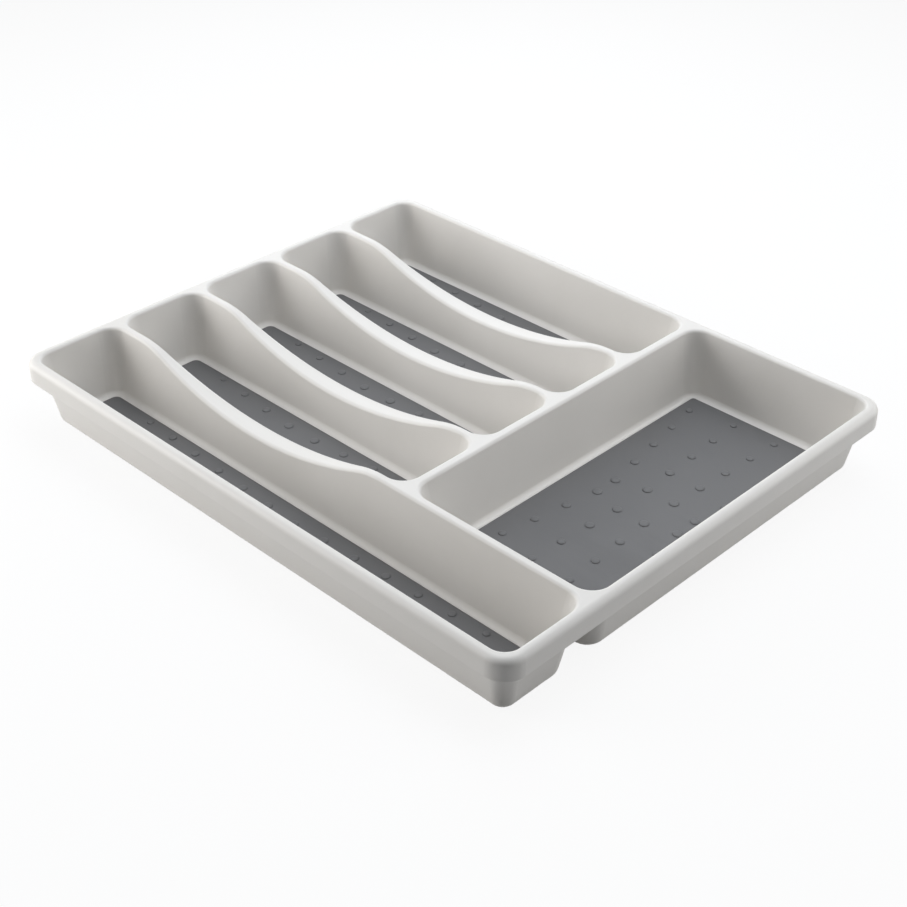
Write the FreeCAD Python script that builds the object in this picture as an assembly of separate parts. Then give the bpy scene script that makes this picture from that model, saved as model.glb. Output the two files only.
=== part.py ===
import FreeCAD, Part
import math
import os

# A cutlery tray: one thin moulded shell with six compartments, a soft mat on each floor and
# round feet underneath. Sizes are in millimetres. X runs along the long compartment, towards the
# end that holds the large compartment. Y runs across, from the long compartment's side. Z is up.
# The origin is on the table, under the middle of the tray.

# The whole tray, standing on its feet
tray_length = 406.0
tray_width = 327.0
tray_height = 46.3
outer_corner_radius = 14.0

# The moulded shell
wall = 1.8
floor_thickness = 1.8
draft_angle = 10.0
rim_width = 6.6
rim_outer_round = 4.1
skirt_height = 13.4
skirt_lip_round = 0.6
mouth_round = 2.0

# The corners of a compartment, at its mouth and its floor: at a corner of the tray, and elsewhere
outer_mouth_radius = 10.0
inner_mouth_radius = 12.0
outer_floor_radius = 6.0
inner_floor_radius = 9.0
floor_fillet = 3.6

# The compartments: narrow lanes side by side, and a large one that closes off all but the first
lane_count = 5
divider_width = 5.2
cross_divider_width = 6.0
large_length = 129.4

# The dip in the top of the dividers between the lanes, and the flats it leaves beside the corners
dip_depth = 18.5
dip_shoulder_radius = 60.0
dip_left_flat = 15.3
dip_right_flat = 1.5

# The mats, each in a shallow recess in its floor
mat_thickness = 0.9
mat_recess = 0.6
mat_margin = 0.3
mat_clearance = 0.25
mat_edge_round = 0.4
lane_mat_corner_radius = 4.0
large_mat_corner_radius = 2.0

# The raised dots on the mats: rows that draw together towards the middle of the mat. On the large
# mat each column of dots is bowed, so that its inner dots lie further from the middle.
dot_height = 0.9
dot_middle_diameter = 6.2
dot_end_diameter = 4.4
lane_dot_rows = 2
lane_dot_pitch = 24.0
lane_dot_middle_spread = 12.6
lane_dot_edge_gap = 4.1
lane_dot_end_gap = 33.0
large_dot_rows = 4
large_dot_pitch = 22.8
large_dot_middle_pair = 16.4
large_dot_bow = 8.2
large_dot_middle_spread = 56.0
large_dot_edge_gap = 7.5
large_dot_end_gap = 11.0

# The feet, each in a round seat in the underside
foot_diameter = 14.0
foot_stand = 1.2
foot_seat_depth = 0.5
foot_clearance = 0.15
foot_edge_round = 0.5
foot_end_gap = 8.0

# How far cutting shapes run past what they cut, how near counts as touching, and the largest
# share of a corner's radius, or of the rim's flat, that a fillet beside it takes
overshoot = 5.0
touching = 0.001
fillet_share = 0.9

# Heights and places worked out from the sizes above
slope = math.tan(math.radians(draft_angle))
fillet_reach = math.tan(math.radians((90 - draft_angle) / 2))
half_length = tray_length / 2
half_width = tray_width / 2
shell_bottom = foot_stand
floor_top = shell_bottom + floor_thickness
recess_floor = floor_top - mat_recess
mat_top = recess_floor + mat_thickness
rim_round = min(rim_outer_round, fillet_share * (rim_width - mouth_round))

inner_left = -half_length + rim_width
inner_right = half_length - rim_width
inner_front = -half_width + rim_width
inner_back = half_width - rim_width
lane_width = (inner_back - inner_front - (lane_count - 1) * divider_width) / lane_count
large_left = inner_right - large_length
short_right = large_left - cross_divider_width

dip_left = inner_left + inner_mouth_radius + dip_left_flat
dip_right = short_right - inner_mouth_radius - dip_right_flat
dip_middle = (dip_left + dip_right) / 2
dip_half_span = (dip_right - dip_left) / 2
dip_valley_radius = (dip_half_span ** 2 + dip_depth ** 2) / (2 * dip_depth) - dip_shoulder_radius
dip_turn = math.asin(dip_half_span / (dip_valley_radius + dip_shoulder_radius))


def lane(index):
    """The front and back edges of a lane's mouth."""
    front = inner_front + index * (lane_width + divider_width)
    return front, front + lane_width


# Each compartment's mouth at the height of the rim: left, right, front, back
mouths = {"long": (inner_left, inner_right, *lane(0))}
for number in range(1, lane_count):
    mouths[f"short_{number}"] = (inner_left, short_right, *lane(number))
mouths["large"] = (large_left, inner_right, lane(1)[0], lane(lane_count - 1)[1])

# The dip spans the dividers, from the middle of the first lane to the middle of the last
dip_front = sum(lane(0)) / 2
dip_back = sum(lane(lane_count - 1)) / 2


def rounded_rectangle(left, right, front, back, radii, z):
    """A closed wire: four straight sides and four quarter circles, from the front right round."""
    corners = [(right, front, -45), (right, back, 45), (left, back, 135), (left, front, 225)]
    arcs = []
    for (x, y, facing), radius in zip(corners, radii):
        middle_x = x - math.copysign(radius, math.cos(math.radians(facing)))
        middle_y = y - math.copysign(radius, math.sin(math.radians(facing)))
        points = []
        for turn in (facing - 45, facing, facing + 45):
            angle = math.radians(turn)
            along_x = middle_x + radius * math.cos(angle)
            along_y = middle_y + radius * math.sin(angle)
            points.append(FreeCAD.Vector(along_x, along_y, z))
        arcs.append(Part.Arc(*points).toShape())
    edges = []
    for arc, following in zip(arcs, arcs[1:] + arcs[:1]):
        side = Part.LineSegment(arc.lastVertex().Point, following.firstVertex().Point)
        edges += [arc, side.toShape()]
    return Part.Wire(edges)


def prism(wire, z_high):
    """A straight block from a flat wire up to a height."""
    rise = z_high - wire.BoundBox.ZMin
    return Part.Face(wire).extrude(FreeCAD.Vector(0, 0, rise))


def outline(inset, z):
    """The tray's outer edge, seen from above, drawn in by an inset."""
    return rounded_rectangle(-half_length + inset, half_length - inset, -half_width + inset,
                             half_width - inset, [outer_corner_radius - inset] * 4, z)


def wall_radii(mouth, grow, z):
    """The corner radii of a compartment's wall at one height, from the front right round."""
    left, right, front, back = mouth
    rise = (z - floor_top) / (tray_height - floor_top)
    radii = []
    for x, y in [(right, front), (right, back), (left, back), (left, front)]:
        at_end = min(x - inner_left, inner_right - x) < touching
        at_side = min(y - inner_front, inner_back - y) < touching
        at_mouth, at_floor = inner_mouth_radius, inner_floor_radius
        if at_end and at_side:
            at_mouth, at_floor = outer_mouth_radius, outer_floor_radius
        radii.append(at_floor + (at_mouth - at_floor) * rise + grow)
    return radii


def wall_section(mouth, grow, z):
    """The drafted wall of a compartment at one height, moved outwards by grow."""
    left, right, front, back = mouth
    inset = (tray_height - z) * slope - grow
    return rounded_rectangle(left + inset, right - inset, front + inset, back - inset,
                             wall_radii(mouth, grow, z), z)


def drafted_block(mouth, grow, z_low, bottom_fillet):
    """A compartment's block, from z_low to above the rim, with a rounded bottom edge."""
    low = wall_section(mouth, grow, z_low)
    high = wall_section(mouth, grow, tray_height + overshoot)
    block = Part.makeLoft([low, high], True, True)
    bottom = [edge for edge in block.Edges if edge.BoundBox.ZMax < z_low + touching]
    largest_fillet = fillet_share * min(wall_radii(mouth, grow, z_low))
    return block.makeFillet(min(bottom_fillet, largest_fillet), bottom)


def dip_edges(drop):
    """The dipped top of a divider from the side, lowered by drop, with its arcs kept parallel."""
    shoulder = dip_shoulder_radius - drop
    valley = dip_valley_radius + drop
    shoulder_centre = tray_height - dip_shoulder_radius
    valley_centre = tray_height - dip_depth + dip_valley_radius

    def on_shoulder(side, turn):
        x = dip_middle + side * (dip_half_span - shoulder * math.sin(turn))
        return FreeCAD.Vector(x, 0, shoulder_centre + shoulder * math.cos(turn))

    def on_valley(turn):
        x = dip_middle + valley * math.sin(turn)
        return FreeCAD.Vector(x, 0, valley_centre - valley * math.cos(turn))

    left = Part.Arc(on_shoulder(-1, 0), on_shoulder(-1, dip_turn / 2), on_shoulder(-1, dip_turn))
    middle = Part.Arc(on_valley(-dip_turn), on_valley(0), on_valley(dip_turn))
    right = Part.Arc(on_shoulder(1, dip_turn), on_shoulder(1, dip_turn / 2), on_shoulder(1, 0))
    return [left.toShape(), middle.toShape(), right.toShape()]


def slab(front, back, drop, base, dipped):
    """All that lies under the tray's top, lowered by drop, over a stretch of its width."""
    reach = half_length + overshoot
    top = tray_height - drop
    corners = [(reach, top), (reach, base), (-reach, base), (-reach, top)]
    points = [FreeCAD.Vector(x, 0, z) for x, z in corners]
    edges = []
    if dipped:
        edges = dip_edges(drop)
        points.insert(0, edges[-1].lastVertex().Point)
        points.append(edges[0].firstVertex().Point)
    else:
        points.append(points[0])
    for start, end in zip(points, points[1:]):
        edges.append(Part.LineSegment(start, end).toShape())
    face = Part.Face(Part.Wire(edges))
    face.translate(FreeCAD.Vector(0, front, 0))
    return face.extrude(FreeCAD.Vector(0, back - front, 0))


def near(shape, edge):
    """Whether the middle of an edge lies on a shape."""
    middle = edge.valueAt((edge.FirstParameter + edge.LastParameter) / 2)
    return shape.distToShape(Part.Vertex(middle))[0] < touching


def envelope(inset, base):
    """All that lies under the tray's top and inside its outline, both drawn in by an inset."""
    reach = half_width + overshoot
    under = slab(-reach, dip_front, inset, base, False)
    under = under.fuse([slab(dip_front, dip_back, inset, base, True),
                        slab(dip_back, reach, inset, base, False)])
    under = under.common(prism(outline(inset, base), tray_height + overshoot)).removeSplitter()
    rim_edge = outline(inset, tray_height - inset)
    rim_edges = [edge for edge in under.Edges if near(rim_edge, edge)]
    return under.makeFillet(rim_round - inset, rim_edges)


def floor_outline(mouth, inset, radius, z):
    """A rounded outline on the flat of a compartment's floor, inset from the foot of its fillet."""
    left, right, front, back = mouth
    inset += (tray_height - floor_top) * slope + floor_fillet * fillet_reach
    return rounded_rectangle(left + inset, right - inset, front + inset, back - inset,
                             [radius] * 4, z)


def mat_corner(name):
    """The corner radius of a mat."""
    return large_mat_corner_radius if name == "large" else lane_mat_corner_radius


def foot_places():
    """The middle of each foot, near the ends of the flat undersides."""
    edge = (tray_height - shell_bottom) * slope - wall + (floor_fillet + wall) * fillet_reach
    inset = edge + foot_end_gap + foot_diameter / 2
    front_line = sum(lane(0)) / 2
    back_line = sum(lane(lane_count - 1)) / 2
    return {
        "foot_front_left": (inner_left + inset, front_line),
        "foot_front_middle": (0.0, front_line),
        "foot_front_right": (inner_right - inset, front_line),
        "foot_back_left": (inner_left + inset, back_line),
        "foot_back_middle": (short_right - inset, back_line),
        "foot_back_right": (inner_right - inset, back_line),
    }


def make_tray_body():
    """The moulded shell: drafted tubs hung from a rim with a turned-down skirt."""
    deep = -2 * overshoot
    under_top = envelope(0, -overshoot)
    under_roof = envelope(wall, deep)
    skirt_bottom = tray_height - skirt_height
    below_skirt = prism(outline(-overshoot, deep), skirt_bottom)
    below_skirt = below_skirt.cut(prism(outline(wall, deep), skirt_bottom))
    shell = under_top.cut([under_roof, below_skirt])

    tubs = []
    hollows = []
    for mouth in mouths.values():
        tub = drafted_block(mouth, wall, shell_bottom, floor_fillet + wall)
        tubs.append(tub.common(under_top))
        hollows.append(drafted_block(mouth, 0, floor_top, floor_fillet))
    shell = shell.fuse(tubs).cut(hollows).removeSplitter()

    # The soft edges: round every mouth, and the lip under the skirt
    hollow_walls = Part.makeCompound(hollows)
    tops = [face for face in under_top.Faces if face.BoundBox.ZMin > shell_bottom]
    tops = Part.makeCompound(tops)
    mouth_edges = [edge for edge in shell.Edges if near(tops, edge) and near(hollow_walls, edge)]
    shell = shell.makeFillet(mouth_round, mouth_edges)
    lips = Part.makeCompound([outline(0, skirt_bottom), outline(wall, skirt_bottom)])
    lip_edges = [edge for edge in shell.Edges if near(lips, edge)]
    shell = shell.makeFillet(skirt_lip_round, lip_edges)

    # The recess that holds each mat, and the round seat of each foot
    seats = []
    for name, mouth in mouths.items():
        seat = floor_outline(mouth, mat_margin, mat_corner(name) + mat_clearance, recess_floor)
        seats.append(prism(seat, floor_top + overshoot))
    seat_radius = foot_diameter / 2 + foot_clearance
    for x, y in foot_places().values():
        start = FreeCAD.Vector(x, y, shell_bottom - overshoot)
        seats.append(Part.makeCylinder(seat_radius, overshoot + foot_seat_depth, start))
    return shell.cut(seats)


def dot_columns(reach, first, pitch):
    """How far each column of dots lies from the middle of its mat, one way and the other."""
    columns = []
    distance = first
    while distance <= reach:
        columns += [distance, -distance] if distance else [distance]
        distance += pitch
    return columns


def make_dot(x, y, diameter):
    """A low dome that stands on a mat and is rooted in it."""
    radius = ((diameter / 2) ** 2 + dot_height ** 2) / (2 * dot_height)
    root = mat_thickness / 2
    latitude = math.degrees(math.asin((radius - dot_height - root) / radius))
    centre = FreeCAD.Vector(x, y, mat_top + dot_height - radius)
    return Part.makeSphere(radius, centre, FreeCAD.Vector(0, 0, 1), latitude, 90, 360)


def make_mat(name):
    """A soft mat with a rounded upper edge and its raised dots."""
    large = name == "large"
    wire = floor_outline(mouths[name], mat_margin + mat_clearance, mat_corner(name), recess_floor)
    mat = prism(wire, mat_top)
    upper = [edge for edge in mat.Edges if edge.BoundBox.ZMin > mat_top - touching]
    mat = mat.makeFillet(mat_edge_round, upper)

    box = mat.BoundBox
    length, breadth = (box.YLength, box.XLength) if large else (box.XLength, box.YLength)
    if large:
        rows, pitch, first = large_dot_rows, large_dot_pitch, large_dot_middle_pair / 2
        reach = length / 2 - large_dot_end_gap
        middle_spread, end_spread = large_dot_middle_spread, breadth - 2 * large_dot_edge_gap
    else:
        rows, pitch, first = lane_dot_rows, lane_dot_pitch, lane_dot_pitch / 2
        reach = length / 2 - lane_dot_end_gap
        middle_spread, end_spread = lane_dot_middle_spread, breadth - 2 * lane_dot_edge_gap
    if name == "long":
        first = 0.0
    dots = []
    for column in dot_columns(reach, first, pitch):
        share = abs(column) / reach
        spread = middle_spread + (end_spread - middle_spread) * share
        diameter = dot_middle_diameter + (dot_end_diameter - dot_middle_diameter) * share
        for row in range(rows):
            place = 2 * row / (rows - 1) - 1
            across = place * spread / 2
            along = column + math.copysign(large_dot_bow * (1 - abs(place)), column)
            x, y = (across, along) if large else (along, across)
            dots.append(make_dot(box.Center.x + x, box.Center.y + y, diameter))
    return mat.fuse(dots)


def make_foot(x, y):
    """A round foot with a softened lower edge, its upper face against the shell."""
    start = FreeCAD.Vector(x, y, 0)
    foot = Part.makeCylinder(foot_diameter / 2, foot_stand + foot_seat_depth, start)
    lower = [edge for edge in foot.Edges if edge.BoundBox.ZMax < touching]
    return foot.makeFillet(foot_edge_round, lower)


pieces = {"tray_body": make_tray_body()}
for name in mouths:
    pieces[f"mat_{name}"] = make_mat(name)
for name, (x, y) in foot_places().items():
    pieces[name] = make_foot(x, y)

os.makedirs("parts", exist_ok=True)
for name, shape in pieces.items():
    shape.exportStep(f"parts/{name}.step")
    volume = round(shape.Volume, 1)
    print(name, "solids", len(shape.Solids), "valid", shape.isValid(), "volume", volume)
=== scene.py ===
# %% [markdown]
# A cutlery tray for a kitchen drawer: one thin moulded shell in light warm grey, a dark soft mat on
# the floor of each compartment, and round rubber feet underneath. The construction is already
# done, so this lesson only dresses it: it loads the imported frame, sets up a camera and soft studio
# light, gives the shell a finish, and models the soft pieces anew in their places.

# %% Load the frame
import math

import bmesh
import bpy
from mathutils import Matrix, Vector


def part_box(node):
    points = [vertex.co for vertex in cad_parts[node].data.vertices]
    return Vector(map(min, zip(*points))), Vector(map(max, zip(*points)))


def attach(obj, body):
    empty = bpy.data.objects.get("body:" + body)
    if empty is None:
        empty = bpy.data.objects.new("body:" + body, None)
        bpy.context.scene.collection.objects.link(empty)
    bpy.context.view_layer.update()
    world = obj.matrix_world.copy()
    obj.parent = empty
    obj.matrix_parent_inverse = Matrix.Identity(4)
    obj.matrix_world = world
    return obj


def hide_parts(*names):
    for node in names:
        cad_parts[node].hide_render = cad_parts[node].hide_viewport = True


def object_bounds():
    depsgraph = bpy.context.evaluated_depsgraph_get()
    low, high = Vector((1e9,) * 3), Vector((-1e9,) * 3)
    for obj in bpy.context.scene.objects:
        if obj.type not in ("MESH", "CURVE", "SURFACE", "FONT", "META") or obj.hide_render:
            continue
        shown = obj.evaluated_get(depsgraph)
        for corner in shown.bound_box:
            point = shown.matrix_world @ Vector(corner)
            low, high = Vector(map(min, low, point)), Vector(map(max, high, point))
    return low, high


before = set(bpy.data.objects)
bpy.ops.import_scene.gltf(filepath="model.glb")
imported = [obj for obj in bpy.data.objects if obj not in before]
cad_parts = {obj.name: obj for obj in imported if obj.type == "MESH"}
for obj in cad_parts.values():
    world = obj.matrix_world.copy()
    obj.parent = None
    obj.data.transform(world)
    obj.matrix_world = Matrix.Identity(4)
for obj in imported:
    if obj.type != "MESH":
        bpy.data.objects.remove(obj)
cad_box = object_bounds()
scene = bpy.context.scene
scene.view_settings.view_transform = "Standard"


def in_short(box):
    """The corners of a box, short enough to print."""
    return [tuple(round(v, 4) for v in corner) for corner in box]


print("box of the frame:", in_short(cad_box))

# %% [markdown]
# The camera stands in front of the tray's near corner, a metre away and about a third of the way
# up. It could be aimed with a constraint or set by a matrix, but a place, two angles and a focal
# length are all that a plain camera needs, and they say more to a reader.

# %% Camera
CAMERA_PLACE = Vector((0.58849, -0.59006, 0.55454))
CAMERA_TURN = math.radians(44.54)
CAMERA_RISE = math.radians(33.96)
FOCAL_LENGTH = 64.88


def direction(turn, rise):
    """The way out from the tray's middle: turn is counted from -Y towards +X, rise from level."""
    level = math.cos(rise)
    return Vector((math.sin(turn) * level, -math.cos(turn) * level, math.sin(rise)))


def facing(way):
    """The turn of a camera or lamp that looks along a way."""
    return way.to_track_quat("-Z", "Y").to_euler()


camera_data = bpy.data.cameras.new("camera")
camera_data.lens = FOCAL_LENGTH
camera = bpy.data.objects.new("camera", camera_data)
camera.location = CAMERA_PLACE
camera.rotation_euler = facing(-direction(CAMERA_TURN, CAMERA_RISE))
scene.collection.objects.link(camera)
scene.camera = camera
print("camera distance:", round(CAMERA_PLACE.length, 3), "m")

# %% [markdown]
# Product pictures are lit with large soft boxes. A sun or a point lamp would draw hard shadows, and
# an area lamp is exactly such a box, so each box is one lamp, named by where it stands as seen from
# the camera and turned to the tray's middle. The side by the camera stays dark, which is what draws
# the near corner and the lower edge of each dot. The boxes above and behind are a little cooler,
# because the rims, which they light, look white and not warm.

# %% Soft boxes
TRAY_MIDDLE = (cad_box[0] + cad_box[1]) / 2
NEUTRAL = (1, 1, 1)
COOL = (0.895, 0.94, 1)
# Turn and rise in degrees, distance and size in metres, power in watts, tint
SOFT_BOXES = {
    "left": (-93, 15, 1.1, 0.8, 10.6, NEUTRAL),
    "right": (91, 20, 1.1, 0.8, 4.0, NEUTRAL),
    "back": (180, 35, 0.8, 0.6, 1.9, COOL),
    "top_back": (180, 78, 1.0, 0.8, 4.4, COOL),
    "top_right": (90, 65, 1.1, 0.8, 4.1, COOL),
}


def soft_box(name, turn, rise, distance, size, power, tint):
    """A square lamp, turned round from the camera's side by an angle, that looks at the tray."""
    data = bpy.data.lights.new(name, "AREA")
    data.size = size
    data.energy = power
    data.color = tint
    towards = direction(CAMERA_TURN + math.radians(turn), math.radians(rise))
    lamp = bpy.data.objects.new(name, data)
    lamp.location = TRAY_MIDDLE + towards * distance
    lamp.rotation_euler = facing(-towards)
    scene.collection.objects.link(lamp)


for box_name, setting in SOFT_BOXES.items():
    soft_box(box_name, *setting)
print("soft boxes:", list(SOFT_BOXES))

# %% [markdown]
# Both the room and the floor, and every finish further on, are built from nodes. Three small helpers
# keep that readable: one adds a node and sets its values, one mixes two colours, and one shows
# one shader or another. The Mix node has sockets for every kind of value, so its colour sockets are
# reached by number.

# %% Helpers for nodes
MIX_FIRST_COLOUR = 6
MIX_SECOND_COLOUR = 7
MIX_COLOUR_RESULT = 2


def node_in(tree, kind, **settings):
    """A new node in a tree, with some of its properties and unlinked inputs set."""
    node = tree.nodes.new(kind)
    for key, value in settings.items():
        if hasattr(node, key):
            setattr(node, key, value)
        else:
            node.inputs[key.replace("_", " ")].default_value = value
    return node


def colour_mix(tree, mask, first, second):
    """One colour where a mask is 0, another where it is 1, and a blend between."""
    mix = node_in(tree, "ShaderNodeMix", data_type="RGBA")
    mix.inputs[MIX_FIRST_COLOUR].default_value = (*first, 1)
    mix.inputs[MIX_SECOND_COLOUR].default_value = (*second, 1)
    tree.links.new(mask, mix.inputs[0])
    return mix.outputs[MIX_COLOUR_RESULT]


def shader_mix(tree, mask, first, second, out):
    """One shader where a mask is 0 and another where it is 1, sent to the output."""
    mix = node_in(tree, "ShaderNodeMixShader")
    tree.links.new(mask, mix.inputs[0])
    tree.links.new(first.outputs[0], mix.inputs[1])
    tree.links.new(second.outputs[0], mix.inputs[2])
    tree.links.new(mix.outputs[0], out.inputs[0])


def emptied(data):
    """The node tree of a new material or world, with nothing in it yet."""
    data.use_nodes = True
    data.node_tree.nodes.clear()
    return data.node_tree


print("colour sockets of a Mix node:", MIX_FIRST_COLOUR, MIX_SECOND_COLOUR)

# %% [markdown]
# The room around the tray is a plain even glow. A picture of a room would put its own colours on
# the shell, and more glow would wash out the shade between the walls. So only a faint glow lights the
# tray, while the camera, a mirror or a glass sees the room as white, by way of the Light Path node.

# %% Room
WHITE = (1, 1, 1, 1)
WHITENESS = 0.9
ROOM_GLOW = 0.01


def seen_directly(tree):
    """A mask that is 1 where the camera, a mirror or a glass looks at a surface."""
    path = node_in(tree, "ShaderNodeLightPath")
    mask = path.outputs["Is Camera Ray"]
    for ray in ("Is Glossy Ray", "Is Transmission Ray"):
        either = node_in(tree, "ShaderNodeMath", operation="MAXIMUM")
        tree.links.new(mask, either.inputs[0])
        tree.links.new(path.outputs[ray], either.inputs[1])
        mask = either.outputs[0]
    return mask


room = bpy.data.worlds.new("room")
room_tree = emptied(room)
shader_mix(
    room_tree,
    seen_directly(room_tree),
    node_in(room_tree, "ShaderNodeBackground", Color=WHITE, Strength=ROOM_GLOW),
    node_in(room_tree, "ShaderNodeBackground", Color=WHITE, Strength=WHITENESS),
    node_in(room_tree, "ShaderNodeOutputWorld"),
)
scene.world = room
print("room glow:", ROOM_GLOW, "seen as:", WHITENESS)

# %% [markdown]
# The table is a pale matt floor. A fully glowing floor would be white but would swallow the tray's
# shadow, so what the camera sees is mostly plain white and partly the real, lit surface. For the
# light that it throws back on the tray the floor is greyer, which keeps the lower sides in shade.

# %% Floor
FLOOR_SIZE = 8.0
FLOOR_COLOUR = (0.95, 0.95, 0.95)
FLOOR_BOUNCE = (0.55, 0.55, 0.55)

floor_bmesh = bmesh.new()
bmesh.ops.create_grid(floor_bmesh, x_segments=1, y_segments=1, size=FLOOR_SIZE / 2)
floor_mesh = bpy.data.meshes.new("floor")
floor_bmesh.to_mesh(floor_mesh)
floor_bmesh.free()
floor = bpy.data.objects.new("floor", floor_mesh)
scene.collection.objects.link(floor)

floor_paint = bpy.data.materials.new("floor")
paint_tree = emptied(floor_paint)
direct = seen_directly(paint_tree)
matt = node_in(paint_tree, "ShaderNodeBsdfDiffuse")
shade = colour_mix(paint_tree, direct, FLOOR_BOUNCE, FLOOR_COLOUR)
paint_tree.links.new(shade, matt.inputs["Color"])
plain_white = node_in(paint_tree, "ShaderNodeEmission", Color=WHITE, Strength=1.0)
share = node_in(paint_tree, "ShaderNodeMath", operation="MULTIPLY")
share.inputs[1].default_value = WHITENESS
paint_tree.links.new(direct, share.inputs[0])
floor_out = node_in(paint_tree, "ShaderNodeOutputMaterial")
shader_mix(paint_tree, share.outputs[0], matt, plain_white, floor_out)
floor_mesh.materials.append(floor_paint)
print("floor:", FLOOR_SIZE, "m wide")

# %% [markdown]
# Three effects turn up in every finish here. The grain is the fine texture that a spark-eroded
# mould leaves in plastic and rubber. The drift is the slow, faint change of tone that every moulded
# surface has. The rub marks are the small scuffs of use. They could be copied from material to
# material, but each is one node group, so that every material can place it with values of its own.

# %% An empty effect


def effect_group(name, inputs, output):
    """An empty shader node group with named sockets, and its two end nodes."""
    group = bpy.data.node_groups.new(name, "ShaderNodeTree")
    group.interface.new_socket("Position", in_out="INPUT", socket_type="NodeSocketVector")
    for label, value in inputs.items():
        socket = group.interface.new_socket(label, in_out="INPUT", socket_type="NodeSocketFloat")
        socket.default_value = value
    group.interface.new_socket(output, in_out="OUTPUT", socket_type="NodeSocketFloat")
    print("effect:", name, "with", ["Position", *inputs], "gives", output)
    return group, node_in(group, "NodeGroupInput"), node_in(group, "NodeGroupOutput")


# %% Moulded grain
GRAIN_CLOUD_SHARE = 0.55


def grain_group():
    """Fine moulded grain: round pits from cells, broken up by a noise of the same size."""
    group, source, result = effect_group("moulded_grain", {"Scale": 900.0}, "Height")
    cells = node_in(group, "ShaderNodeTexVoronoi", feature="SMOOTH_F1", Smoothness=0.6)
    cloud = node_in(group, "ShaderNodeTexNoise", Detail=3.0, Roughness=0.6)
    blend = node_in(group, "ShaderNodeMix", data_type="FLOAT")
    blend.inputs[0].default_value = GRAIN_CLOUD_SHARE
    for texture in (cells, cloud):
        group.links.new(source.outputs["Position"], texture.inputs["Vector"])
        group.links.new(source.outputs["Scale"], texture.inputs["Scale"])
    group.links.new(cells.outputs["Distance"], blend.inputs[2])
    group.links.new(cloud.outputs["Fac"], blend.inputs[3])
    group.links.new(blend.outputs[0], result.inputs["Height"])
    return group


GRAIN = grain_group()

# %% Drift of tone
DRIFT_LOW = 0.3
DRIFT_HIGH = 0.7


def drift_group():
    """A slow drift of tone across a moulded surface, from 0 to 1."""
    group, source, result = effect_group("tone_drift", {"Scale": 14.0}, "Tone")
    cloud = node_in(group, "ShaderNodeTexNoise", Detail=4.0, Roughness=0.55, Distortion=0.4)
    spread = node_in(group, "ShaderNodeMapRange", From_Min=DRIFT_LOW, From_Max=DRIFT_HIGH)
    group.links.new(source.outputs["Position"], cloud.inputs["Vector"])
    group.links.new(source.outputs["Scale"], cloud.inputs["Scale"])
    group.links.new(cloud.outputs["Fac"], spread.inputs["Value"])
    group.links.new(spread.outputs["Result"], result.inputs["Tone"])
    return group


DRIFT = drift_group()

# %% Rub marks
STREAK_STRETCH = (0.12, 1.0, 1.0)
STREAK_TURN = (0, 0, 0.5)
PATCH_SCALE = 9.0
RUB_FULL = 0.5


def rub_group():
    """Rub marks: short streaks one way, kept to the patches where things slide."""
    group, source, result = effect_group("rub_marks", {"Scale": 60.0, "Reach": 0.55}, "Mask")
    stretch = node_in(group, "ShaderNodeMapping", Scale=STREAK_STRETCH, Rotation=STREAK_TURN)
    streaks = node_in(group, "ShaderNodeTexNoise", Detail=5.0, Roughness=0.7)
    patches = node_in(group, "ShaderNodeTexNoise", Scale=PATCH_SCALE, Detail=2.0)
    both = node_in(group, "ShaderNodeMath", operation="MULTIPLY")
    edge = node_in(group, "ShaderNodeMapRange", From_Max=RUB_FULL)
    group.links.new(source.outputs["Position"], stretch.inputs["Vector"])
    group.links.new(stretch.outputs["Vector"], streaks.inputs["Vector"])
    group.links.new(source.outputs["Scale"], streaks.inputs["Scale"])
    group.links.new(source.outputs["Position"], patches.inputs["Vector"])
    group.links.new(streaks.outputs["Fac"], both.inputs[0])
    group.links.new(patches.outputs["Fac"], both.inputs[1])
    group.links.new(both.outputs[0], edge.inputs["Value"])
    group.links.new(source.outputs["Reach"], edge.inputs["From Min"])
    group.links.new(edge.outputs["Result"], result.inputs["Mask"])
    return group


RUB = rub_group()

# %% [markdown]
# A finish is what a moulded surface looks like up close. One flat colour would look like a drawing,
# so a Principled shader is fed by the effects: the drift moves between two near colours, the rub
# marks and the drift change how glossy the surface is, and the grain goes into a Bump node as real
# height in metres. What is the same all over is set on the shader's own sockets.

# %% A finish from the effects


def add_gloss(tree, shader, tone, rubs, roughness):
    """Moves the roughness between two values, by the tone and the rub marks together."""
    wear = node_in(tree, "ShaderNodeMath", operation="ADD", use_clamp=True)
    gloss = node_in(tree, "ShaderNodeMapRange", To_Min=roughness[0], To_Max=roughness[1])
    tree.links.new(tone, wear.inputs[0])
    tree.links.new(rubs, wear.inputs[1])
    tree.links.new(wear.outputs[0], gloss.inputs["Value"])
    tree.links.new(gloss.outputs["Result"], shader.inputs["Roughness"])


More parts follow.
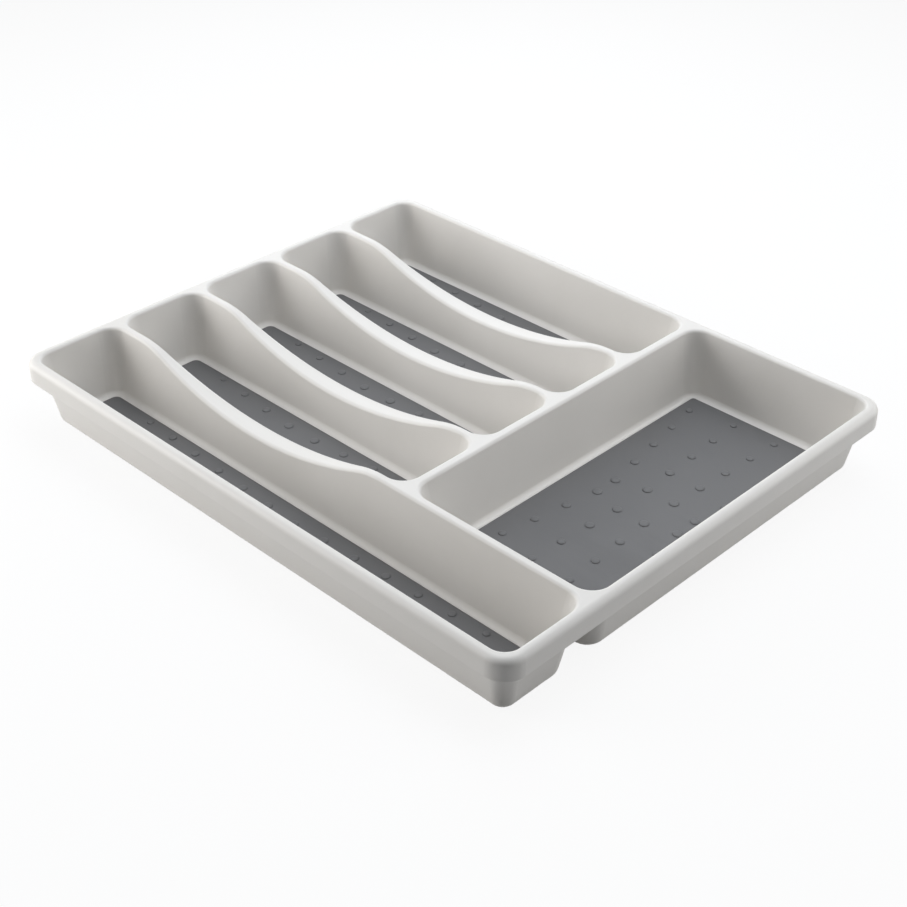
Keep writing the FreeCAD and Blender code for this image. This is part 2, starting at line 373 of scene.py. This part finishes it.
def finish(name, dark, light, roughness, grain_scale, grain_depth, specular, rub_reach):
    """A moulded material: two near colours, a range of roughness and a grain of a real depth."""
    material = bpy.data.materials.new(name)
    tree = emptied(material)
    shader = node_in(tree, "ShaderNodeBsdfPrincipled", Specular_IOR_Level=specular)
    out = node_in(tree, "ShaderNodeOutputMaterial")
    tree.links.new(shader.outputs[0], out.inputs[0])
    place = node_in(tree, "ShaderNodeTexCoord")
    grain = node_in(tree, "ShaderNodeGroup", node_tree=GRAIN, Scale=grain_scale)
    drift = node_in(tree, "ShaderNodeGroup", node_tree=DRIFT)
    rub = node_in(tree, "ShaderNodeGroup", node_tree=RUB, Reach=rub_reach)
    for effect in (grain, drift, rub):
        tree.links.new(place.outputs["Object"], effect.inputs["Position"])
    tone = drift.outputs["Tone"]
    tree.links.new(colour_mix(tree, tone, dark, light), shader.inputs["Base Color"])
    add_gloss(tree, shader, tone, rub.outputs["Mask"], roughness)
    bump = node_in(tree, "ShaderNodeBump", Strength=1.0, Distance=grain_depth)
    tree.links.new(grain.outputs["Height"], bump.inputs["Height"])
    tree.links.new(bump.outputs["Normal"], shader.inputs["Normal"])
    print("finish:", name, "with", len(tree.nodes), "nodes")
    return material


def dress(piece, material):
    """Gives a piece one material and nothing else."""
    piece.data.materials.clear()
    piece.data.materials.append(material)


# %% [markdown]
# The shell keeps its CAD shape, which is right as it is: a drafted, thin-walled moulding with a soft
# rim. Modelling it again could only make it less exact. It is satin polypropylene in a light warm
# grey, smooth to the hand, with a grain so fine that it only takes the shine off.

# %% The moulded shell
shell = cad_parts["tray_body"]
shell_plastic = finish(
    "shell_plastic",
    dark=(0.772, 0.745, 0.703),
    light=(0.807, 0.78, 0.741),
    roughness=(0.40, 0.50),
    grain_scale=1400.0,
    grain_depth=0.00002,
    specular=0.4,
    rub_reach=0.3,
)
dress(shell, shell_plastic)
print("shell faces:", len(shell.data.polygons))

# %% [markdown]
# The mats have low dots on them that keep the cutlery from sliding. A squashed ball would do, but its
# side is too soft to catch a shadow. So a dot is a turned shape: an arc a little fuller than a
# circle's is spun once round the upright axis and closed underneath. It has a short root, by which
# it is set into the mat. The feet are turned in the same way further on.

# %% One dot, turned
MERGE_DISTANCE = 0.00001
DOT_HEIGHT = 0.0009
DOT_ROOT = 0.0003
DOT_FULLNESS = 2.7
DOT_ARC_STEPS = 7
DOT_SPIN_STEPS = 28
QUARTER_TURN = math.radians(90)


def turned(points, steps):
    """A closed shape, spun round the Z axis from a profile of points (reach, height)."""
    bm = bmesh.new()
    ring = [bm.verts.new((reach, 0, height)) for reach, height in points]
    profile = [bm.edges.new(pair) for pair in zip(ring, ring[1:])]
    bmesh.ops.spin(bm, geom=ring + profile, cent=(0, 0, 0), axis=(0, 0, 1), angle=math.tau,
                   steps=steps, use_merge=True)
    bmesh.ops.remove_doubles(bm, verts=bm.verts, dist=MERGE_DISTANCE)
    bmesh.ops.recalc_face_normals(bm, faces=bm.faces)
    return bm


def dot_profile():
    """From the top of a dot of unit radius down to its edge, and under it back to the middle."""
    points = []
    for step in range(DOT_ARC_STEPS + 1):
        angle = QUARTER_TURN * step / DOT_ARC_STEPS
        reach = math.sin(angle) ** (2 / DOT_FULLNESS)
        rise = math.cos(angle) ** (2 / DOT_FULLNESS)
        points.append((reach, rise * DOT_HEIGHT))
    return points + [(1, -DOT_ROOT), (0, -DOT_ROOT)]


dot_mesh = bpy.data.meshes.new("dot")
dot_bmesh = turned(dot_profile(), DOT_SPIN_STEPS)
dot_bmesh.to_mesh(dot_mesh)
dot_bmesh.free()
print("faces of a dot:", len(dot_mesh.polygons))

# %% [markdown]
# The mat itself is a soft rubber plate, cut with rounded corners. A plate could be extruded from a
# drawn outline, but a cube that is sized to its place in the frame is shorter: its upright edges are
# bevelled into the corner radius, and then its upper rim is bevelled softly.

# %% One plate
CORNER_STEPS = 10
EDGE_ROUND = 0.0004
EDGE_STEPS = 4


def round_edges(bm, edges, radius, steps):
    """Bevels edges into a round."""
    bmesh.ops.bevel(bm, geom=edges, offset=radius, offset_type="OFFSET", segments=steps, profile=0.5,
                    affect="EDGES", material=-1)


def rounded_plate(low, high, corner):
    """A plate between two corners, with rounded upright edges and a softly rounded upper rim."""
    size = high - low
    bm = bmesh.new()
    place = Matrix.Translation((low + high) / 2) @ Matrix.Diagonal((*size, 1))
    bmesh.ops.create_cube(bm, size=1, matrix=place)
    upright = [e for e in bm.edges if abs(e.verts[0].co.z - e.verts[1].co.z) > size.z / 2]
    round_edges(bm, upright, corner, CORNER_STEPS)
    rim = [e for e in bm.edges if min(vert.co.z for vert in e.verts) > high.z - size.z / 4]
    round_edges(bm, rim, EDGE_ROUND, EDGE_STEPS)
    print("plate:", in_short([size])[0], "with", len(bm.faces), "faces")
    return bm


# %% [markdown]
# The dots stand in rows along the mat. Towards the middle they grow and the rows draw together. They
# could be set one by one, but both changes run evenly with the distance from the middle, so a loop
# sets them all from a few measures. On the large mat the inner rows also bow outwards.

# %% Rows of dots
DOT_MIDDLE_RADIUS = 0.0031
DOT_END_RADIUS = 0.0022
LANE_DOTS = {"rows": 2, "pitch": 0.024, "spread": 0.0126, "edge_gap": 0.0041, "end_gap": 0.033}
LARGE_DOTS = {"rows": 4, "pitch": 0.0228, "spread": 0.056, "edge_gap": 0.0075, "end_gap": 0.011}
LARGE_DOT_PAIR = 0.0164
LARGE_DOT_BOW = 0.0082


def dot_columns(reach, first, pitch):
    """How far the columns of dots lie from the middle of a mat, both ways."""
    found = []
    distance = first
    while distance <= reach:
        found += [distance, -distance] if distance else [distance]
        distance += pitch
    return found


def add_dot(bm, place, radius):
    """Copies the dot into a plate's mesh, at a place and with a radius."""
    standing = set(bm.verts)
    bm.from_mesh(dot_mesh)
    sized = Matrix.Translation(place) @ Matrix.Diagonal((radius, radius, 1, 1))
    added = [vert for vert in bm.verts if vert not in standing]
    bmesh.ops.transform(bm, matrix=sized, verts=added)


def add_dots(bm, low, high, first, rows, pitch, spread, edge_gap, end_gap):
    """Sets the dots on a plate, in rows along its longer side."""
    size = high - low
    middle = (low + high) / 2
    lengthwise = size.x > size.y
    length, breadth = (size.x, size.y) if lengthwise else (size.y, size.x)
    reach = length / 2 - end_gap
    end_spread = breadth - 2 * edge_gap
    columns = dot_columns(reach, first, pitch)
    for column in columns:
        share = abs(column) / reach
        half_spread = (spread + (end_spread - spread) * share) / 2
        radius = DOT_MIDDLE_RADIUS + (DOT_END_RADIUS - DOT_MIDDLE_RADIUS) * share
        for row in range(rows):
            side = 2 * row / (rows - 1) - 1
            across = side * half_spread
            along = column + math.copysign(LARGE_DOT_BOW * (1 - abs(side)), column)
            x, y = (along, across) if lengthwise else (across, along)
            add_dot(bm, (middle.x + x, middle.y + y, high.z), radius)
    print("dots:", len(columns) * rows)


# %% [markdown]
# A modelled piece still has to join the frame: it rides on the body that carries it, takes the place
# of the node that it hides, and gets its finish. Its rounds should look smooth and its flats flat.
# More faces would do that too, but smooth shading with weighted normals does it with few.

# %% A finished piece
CRISP_ANGLE = math.radians(35)


def soften(bm):
    """Smooth shading, with the sharper edges kept crisp."""
    for face in bm.faces:
        face.smooth = True
    for edge in bm.edges:
        edge.smooth = len(edge.link_faces) == 2 and edge.calc_face_angle() < CRISP_ANGLE


def finished_piece(bm, name, body, node, material):
    """Turns a bmesh into a piece that rides on a body and takes the place of a node of the frame,
    which it hides.
    """
    soften(bm)
    mesh = bpy.data.meshes.new(name)
    bm.to_mesh(mesh)
    bm.free()
    piece = bpy.data.objects.new(name, mesh)
    scene.collection.objects.link(piece)
    flat = piece.modifiers.new("flat faces stay flat", "WEIGHTED_NORMAL")
    flat.keep_sharp = True
    dress(piece, material)
    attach(piece, body)
    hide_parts(node)
    print("piece:", name, "on", body, "with", len(mesh.polygons), "faces")


def nodes_named(start):
    """The frame's nodes whose names start in one way, in order."""
    return sorted(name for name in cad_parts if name.startswith(start))


# %% [markdown]
# Now the mats are put together: five long ones for the lanes and a large one. Soft rubber is dark and
# matt with a coarser grain than the shell, so it gets a finish of its own. The frame's box of a mat
# takes in its dots, so the plate is lower than the box by a dot's height.

# %% Mats
LANE_CORNER = 0.004
LARGE_CORNER = 0.002
RUBBER_DARK = (0.132, 0.131, 0.132)
RUBBER_LIGHT = (0.148, 0.147, 0.148)

mat_rubber = finish(
    "mat_rubber",
    dark=RUBBER_DARK,
    light=RUBBER_LIGHT,
    roughness=(0.55, 0.70),
    grain_scale=1100.0,
    grain_depth=0.00005,
    specular=0.5,
    rub_reach=0.3,
)
for node in nodes_named("mat_"):
    low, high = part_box(node)
    high.z -= DOT_HEIGHT
    if node == "mat_large":
        mat = rounded_plate(low, high, LARGE_CORNER)
        add_dots(mat, low, high, LARGE_DOT_PAIR / 2, **LARGE_DOTS)
    else:
        mat = rounded_plate(low, high, LANE_CORNER)
        first = 0.0 if node == "mat_long" else LANE_DOTS["pitch"] / 2
        add_dots(mat, low, high, first, **LANE_DOTS)
    finished_piece(mat, node.replace("mat_", "soft_mat_"), node, node, mat_rubber)

# %% [markdown]
# The feet are small discs of the same kind of rubber, pressed into seats under the shell. A bevelled
# cylinder would come close, but a turned profile also gives the sole: a flat top in the seat, a
# straight side, a rounded lower edge and a shallow hollow in the middle, which such feet have so
# that they don't rock.

# %% Feet
FOOT_EDGE_ROUND = 0.0005
FOOT_ARC_STEPS = 4
FOOT_HOLLOW_DEPTH = 0.0003
FOOT_HOLLOW_SLOPE = 0.0006
FOOT_HOLLOW_SHARE = 0.6
FOOT_SPIN_STEPS = 48


def foot_bmesh(low, high):
    """A disc between two corners, with a rounded lower edge and a hollow sole."""
    radius = (high.x - low.x) / 2
    points = [(0, high.z), (radius, high.z)]
    for step in range(FOOT_ARC_STEPS + 1):
        angle = QUARTER_TURN * step / FOOT_ARC_STEPS
        reach = radius - FOOT_EDGE_ROUND * (1 - math.cos(angle))
        points.append((reach, low.z + FOOT_EDGE_ROUND * (1 - math.sin(angle))))
    hollow = radius * FOOT_HOLLOW_SHARE
    ceiling = low.z + FOOT_HOLLOW_DEPTH
    points += [(hollow, low.z), (hollow - FOOT_HOLLOW_SLOPE, ceiling), (0, ceiling)]
    bm = turned(points, FOOT_SPIN_STEPS)
    middle = (low + high) / 2
    bmesh.ops.translate(bm, vec=(middle.x, middle.y, 0), verts=bm.verts)
    return bm


foot_rubber = finish(
    "foot_rubber",
    dark=RUBBER_DARK,
    light=RUBBER_LIGHT,
    roughness=(0.60, 0.75),
    grain_scale=1500.0,
    grain_depth=0.00003,
    specular=0.4,
    rub_reach=0.25,
)
for node in nodes_named("foot_"):
    foot = foot_bmesh(*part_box(node))
    finished_piece(foot, node.replace("foot_", "rubber_foot_"), "tray", node, foot_rubber)
